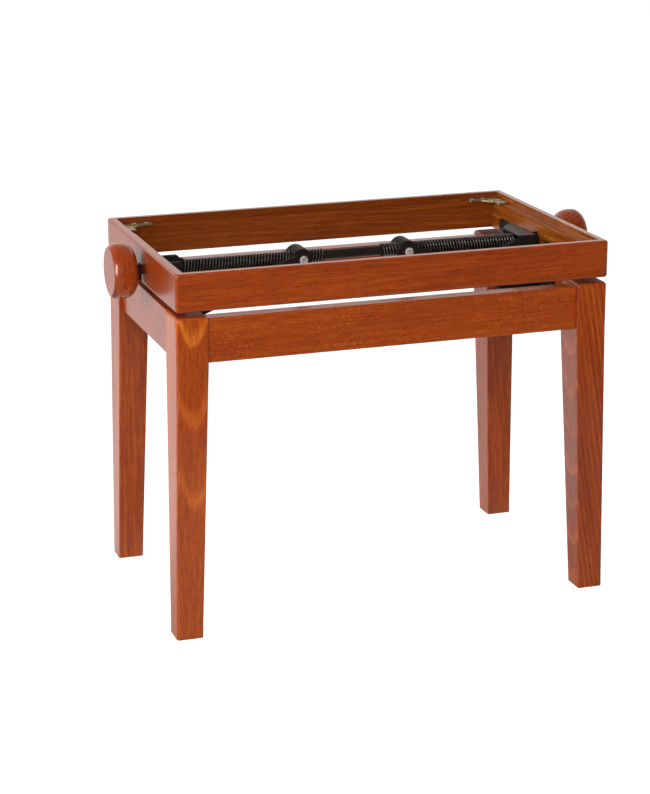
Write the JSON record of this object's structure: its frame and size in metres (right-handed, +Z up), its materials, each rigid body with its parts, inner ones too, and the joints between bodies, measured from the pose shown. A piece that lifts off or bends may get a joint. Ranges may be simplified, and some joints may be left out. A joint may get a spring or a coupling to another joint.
{
  "type": "adjustable piano bench",
  "caption": "Height-adjustable piano bench in red-brown stained beech: open seat frame over a tapered-leg frame, raised by a knob-turned spindle and folding arms.",
  "frame": {"origin": "on the floor under the middle of the bench", "axes": "+X to the sitter's right along the long side and the spindle, +Y to the back, +Z up; stored at the height in the picture, close to its lowest"},
  "size_m": [0.634, 0.348, 0.4638],
  "materials": {
    "stained_beech": "satin lacquer",
    "block_wood": "matt stain",
    "black_steel": "semi-gloss",
    "black_plastic": "satin",
    "zinc_plate": "yellow zinc",
    "zinc_screw": "bright zinc"
  },
  "bodies": {
    "leg_frame": {"apron_back": "stained_beech", "apron_front": "stained_beech", "apron_left": "stained_beech", "apron_right": "stained_beech", "corner_block_back_left": "block_wood", "corner_block_back_right": "block_wood", "corner_block_front_left": "block_wood", "corner_block_front_right": "block_wood", "leg_back_left": "stained_beech", "leg_back_right": "stained_beech", "leg_bolt_nuts": "zinc_screw", "leg_bolt_washers": "zinc_screw", "leg_bolts": "zinc_screw", "leg_bracket_left": "black_steel", "leg_bracket_right": "black_steel", "leg_bracket_screws": "black_steel", "leg_front_left": "stained_beech", "leg_front_right": "stained_beech", "low_pin_left": "black_steel", "low_pin_right": "black_steel"},
    "seat_frame": {"corner_plate_left": "zinc_plate", "corner_plate_right": "zinc_plate", "corner_plate_screws": "zinc_screw", "seat_bracket_left": "black_steel", "seat_bracket_right": "black_steel", "seat_bracket_screws": "black_steel", "seat_rail_back": "stained_beech", "seat_rail_front": "stained_beech", "seat_rail_left": "stained_beech", "seat_rail_right": "stained_beech", "spindle_bush_left": "black_plastic", "spindle_bush_right": "black_plastic", "upper_rivets": "black_steel"},
    "spindle": {"knob_left": "stained_beech", "knob_right": "stained_beech", "spindle_collar_left": "black_plastic", "spindle_collar_right": "black_plastic", "spindle_shaft": "black_steel", "thread_sleeve_left": "black_plastic", "thread_sleeve_right": "black_plastic"},
    "long_arm_left": {"long_arm_left": "black_steel", "middle_pin_left": "black_steel"},
    "short_arm_left": {"short_arm_left": "black_steel"},
    "nut_left": {"nut_left": "black_plastic", "nut_screws_left": "zinc_screw"},
    "long_arm_right": {"long_arm_right": "black_steel", "middle_pin_right": "black_steel"},
    "short_arm_right": {"short_arm_right": "black_steel"},
    "nut_right": {"nut_right": "black_plastic", "nut_screws_right": "zinc_screw"}
  },
  "joints": [
    {"name": "seat_lift", "type": "hinge", "parent": "leg_frame", "child": "long_arm_left", "pos_m": [-0.23, 0, 0.368], "axis": [0, -1, 0], "range_deg": [-1.8, 49.2]},
    {"name": "short_arm_left_fold", "type": "hinge", "parent": "long_arm_left", "child": "short_arm_left", "pos_m": [-0.1505, 0, 0.3985], "axis": [0, -1, 0], "range_deg": [-98.5, 3.7]},
    {"name": "seat_frame_level", "type": "hinge", "parent": "short_arm_left", "child": "seat_frame", "pos_m": [-0.23, 0, 0.429], "axis": [0, -1, 0], "range_deg": [-1.9, 49.3]},
    {"name": "nut_left_ride", "type": "hinge", "parent": "long_arm_left", "child": "nut_left", "pos_m": [-0.071, 0, 0.429], "axis": [0, -1, 0], "range_deg": [-49.3, 1.9]},
    {"name": "long_arm_right_fold", "type": "hinge", "parent": "leg_frame", "child": "long_arm_right", "pos_m": [0.23, 0, 0.368], "axis": [0, -1, 0], "range_deg": [-49.3, 1.9]},
    {"name": "short_arm_right_fold", "type": "hinge", "parent": "long_arm_right", "child": "short_arm_right", "pos_m": [0.1505, 0, 0.3985], "axis": [0, -1, 0], "range_deg": [-3.7, 98.5]},
    {"name": "nut_right_ride", "type": "hinge", "parent": "long_arm_right", "child": "nut_right", "pos_m": [0.071, 0, 0.429], "axis": [0, -1, 0], "range_deg": [-1.9, 49.3]},
    {"name": "spindle_turn", "type": "hinge", "parent": "seat_frame", "child": "spindle", "pos_m": [0, 0, 0.429], "axis": [1, 0, 0], "range_deg": [-4557.84, 166.85]}
  ],
  "couplings": [
    {"joint": "short_arm_left_fold", "follows": "seat_lift", "ratio": -2},
    {"joint": "seat_frame_level", "follows": "seat_lift", "ratio": 1},
    {"joint": "nut_left_ride", "follows": "seat_lift", "ratio": -1},
    {"joint": "long_arm_right_fold", "follows": "seat_lift", "ratio": -1},
    {"joint": "short_arm_right_fold", "follows": "seat_lift", "ratio": 2},
    {"joint": "nut_right_ride", "follows": "seat_lift", "ratio": 1},
    {"joint": "spindle_turn", "follows": "seat_lift", "ratio": -92.637}
  ]
}
